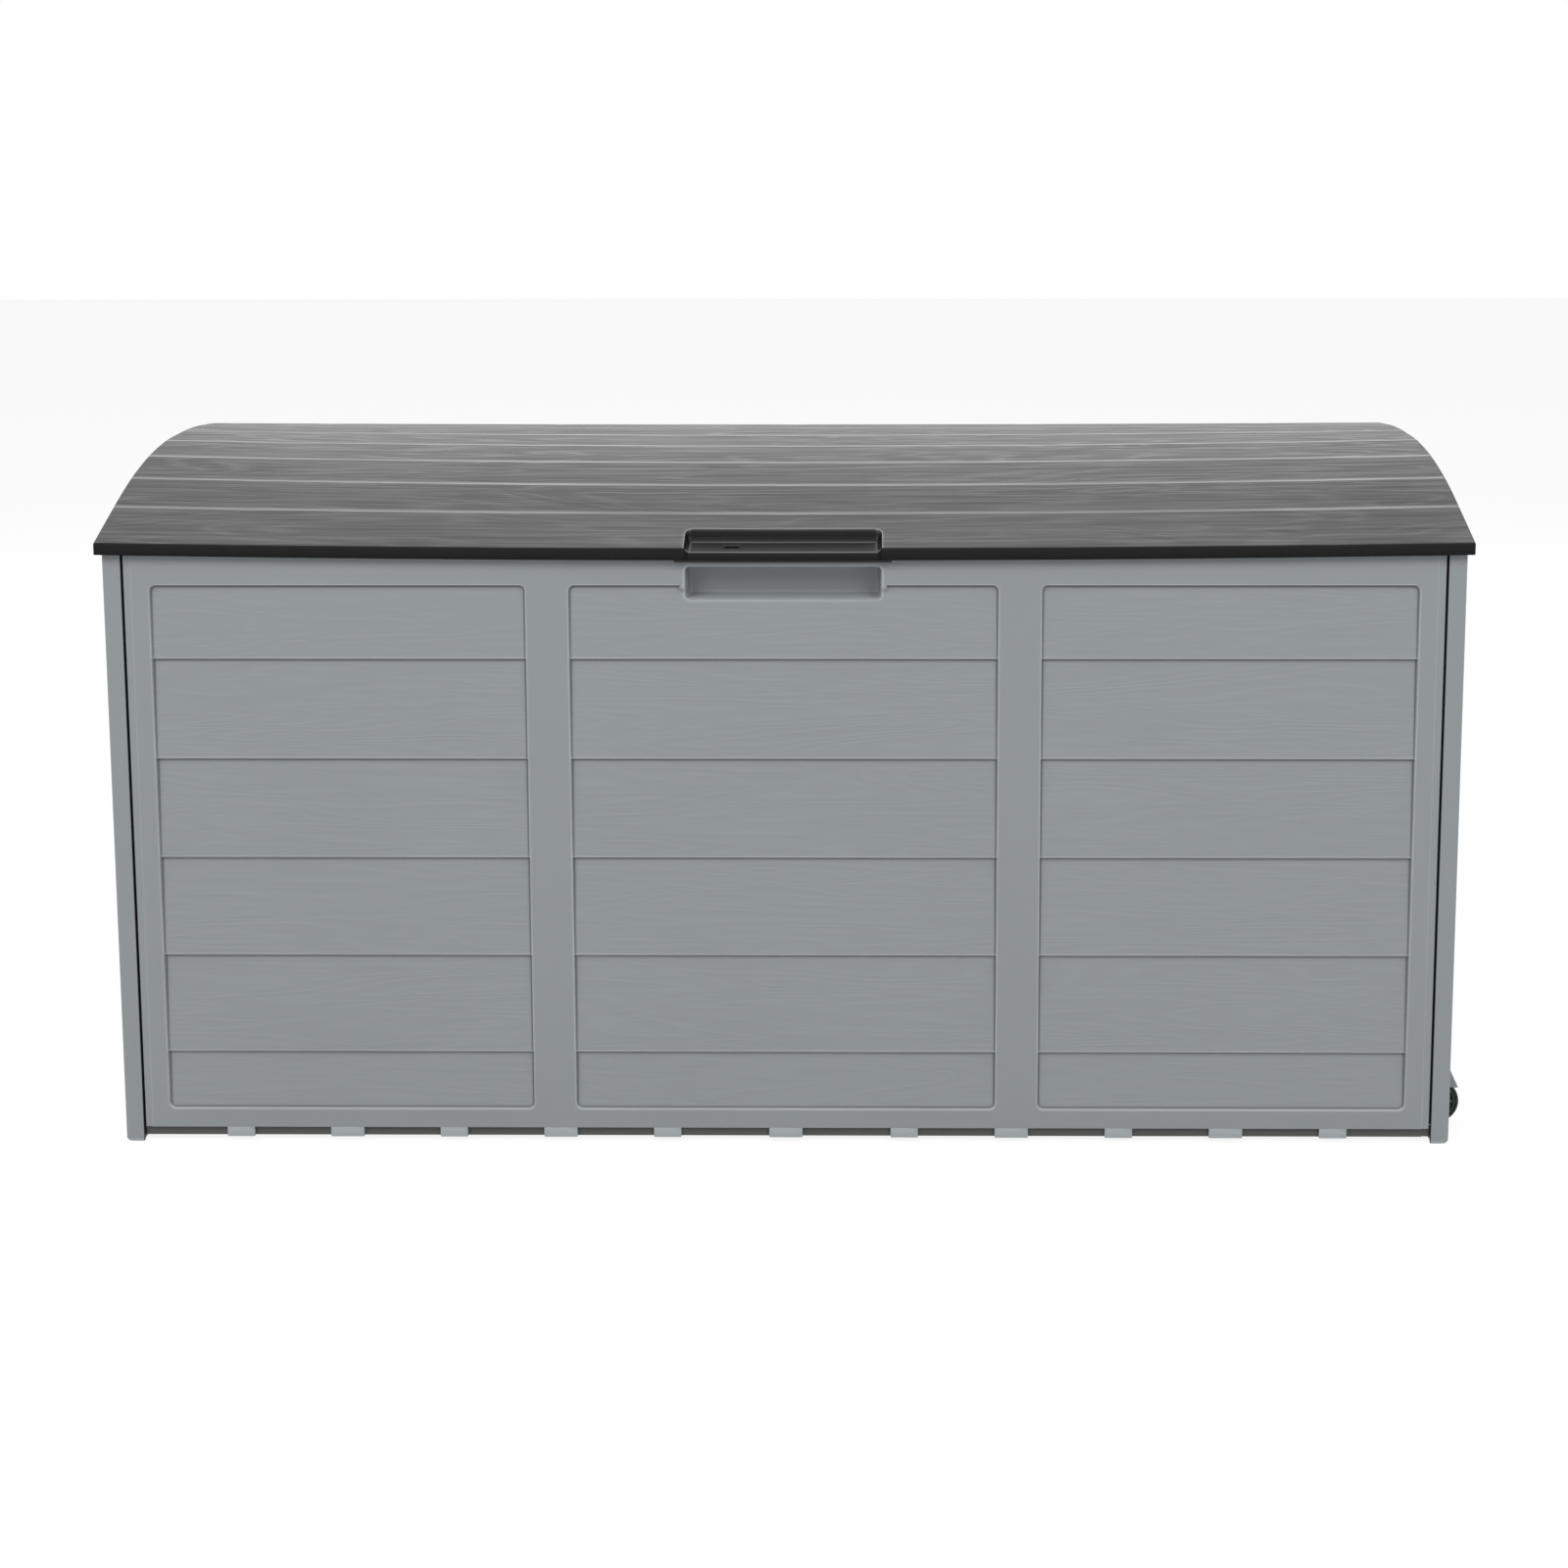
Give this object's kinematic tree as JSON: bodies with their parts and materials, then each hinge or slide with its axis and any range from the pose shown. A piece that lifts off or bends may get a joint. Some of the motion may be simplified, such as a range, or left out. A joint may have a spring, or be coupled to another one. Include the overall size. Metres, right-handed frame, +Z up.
{
  "type": "deck storage box",
  "caption": "Wide plastic deck storage box with clapboard side panels, an arched hinged plank lid with a lifting ledge, hand recesses and small wheels under one end.",
  "frame": {"origin": "on the ground, under the middle of the whole object's box; the middle of the box body lies 7.55 mm towards -X and 7.75 mm towards -Y of it, because the wheels stand out at the +X end and the hinges at the back", "axes": "+X along the box to the wheeled end, +Y from the front to the hinged back, +Z up"},
  "size_m": [1.1352, 0.5056, 0.578],
  "materials": {
    "panel_plastic": "light grey moulded polypropylene, satin, faint wood grain on the boards",
    "lid_plastic": "dark grey moulded polypropylene, satin, wood grain",
    "floor_plastic": "dark moulded plastic, dull",
    "bracket_plastic": "grey moulded plastic, satin",
    "wheel_tyre": "black rubber, dull",
    "hub_plastic": "dark green-black moulded plastic",
    "zinc_steel": "zinc-plated steel"
  },
  "bodies": {
    "box": {"floor_panel": "floor_plastic", "front_panel": "panel_plastic", "back_panel": "panel_plastic", "end_panel_left": "panel_plastic", "end_panel_right": "panel_plastic", "hinge_pin_1": "zinc_steel", "hinge_pin_2": "zinc_steel", "hinge_pin_3": "zinc_steel", "hinge_pin_4": "zinc_steel", "wheel_bracket_front": "bracket_plastic", "wheel_bracket_rear": "bracket_plastic", "wheel_axle_front": "zinc_steel", "wheel_axle_rear": "zinc_steel", "axle_cap_front": "zinc_steel", "axle_cap_rear": "zinc_steel", "bracket_screw_front_1": "zinc_steel", "bracket_screw_front_2": "zinc_steel", "bracket_screw_rear_1": "zinc_steel", "bracket_screw_rear_2": "zinc_steel"},
    "lid": {"lid_shell": "lid_plastic"},
    "wheel_front": {"wheel_tyre_front": "wheel_tyre", "wheel_hub_front": "hub_plastic"},
    "wheel_rear": {"wheel_tyre_rear": "wheel_tyre", "wheel_hub_rear": "hub_plastic"}
  },
  "joints": [
    {"name": "lid_hinge", "type": "hinge", "parent": "box", "child": "lid", "pos_m": [0, 0.24625, 0.50005], "axis": [-1, 0, 0], "range_deg": [0, 100]},
    {"name": "wheel_front_spin", "type": "hinge", "parent": "box", "child": "wheel_front", "pos_m": [0.54875, -0.19975, 0.0194], "axis": [0, 1, 0], "continuous": true},
    {"name": "wheel_rear_spin", "type": "hinge", "parent": "box", "child": "wheel_rear", "pos_m": [0.54875, 0.18425, 0.0194], "axis": [0, 1, 0], "continuous": true}
  ]
}
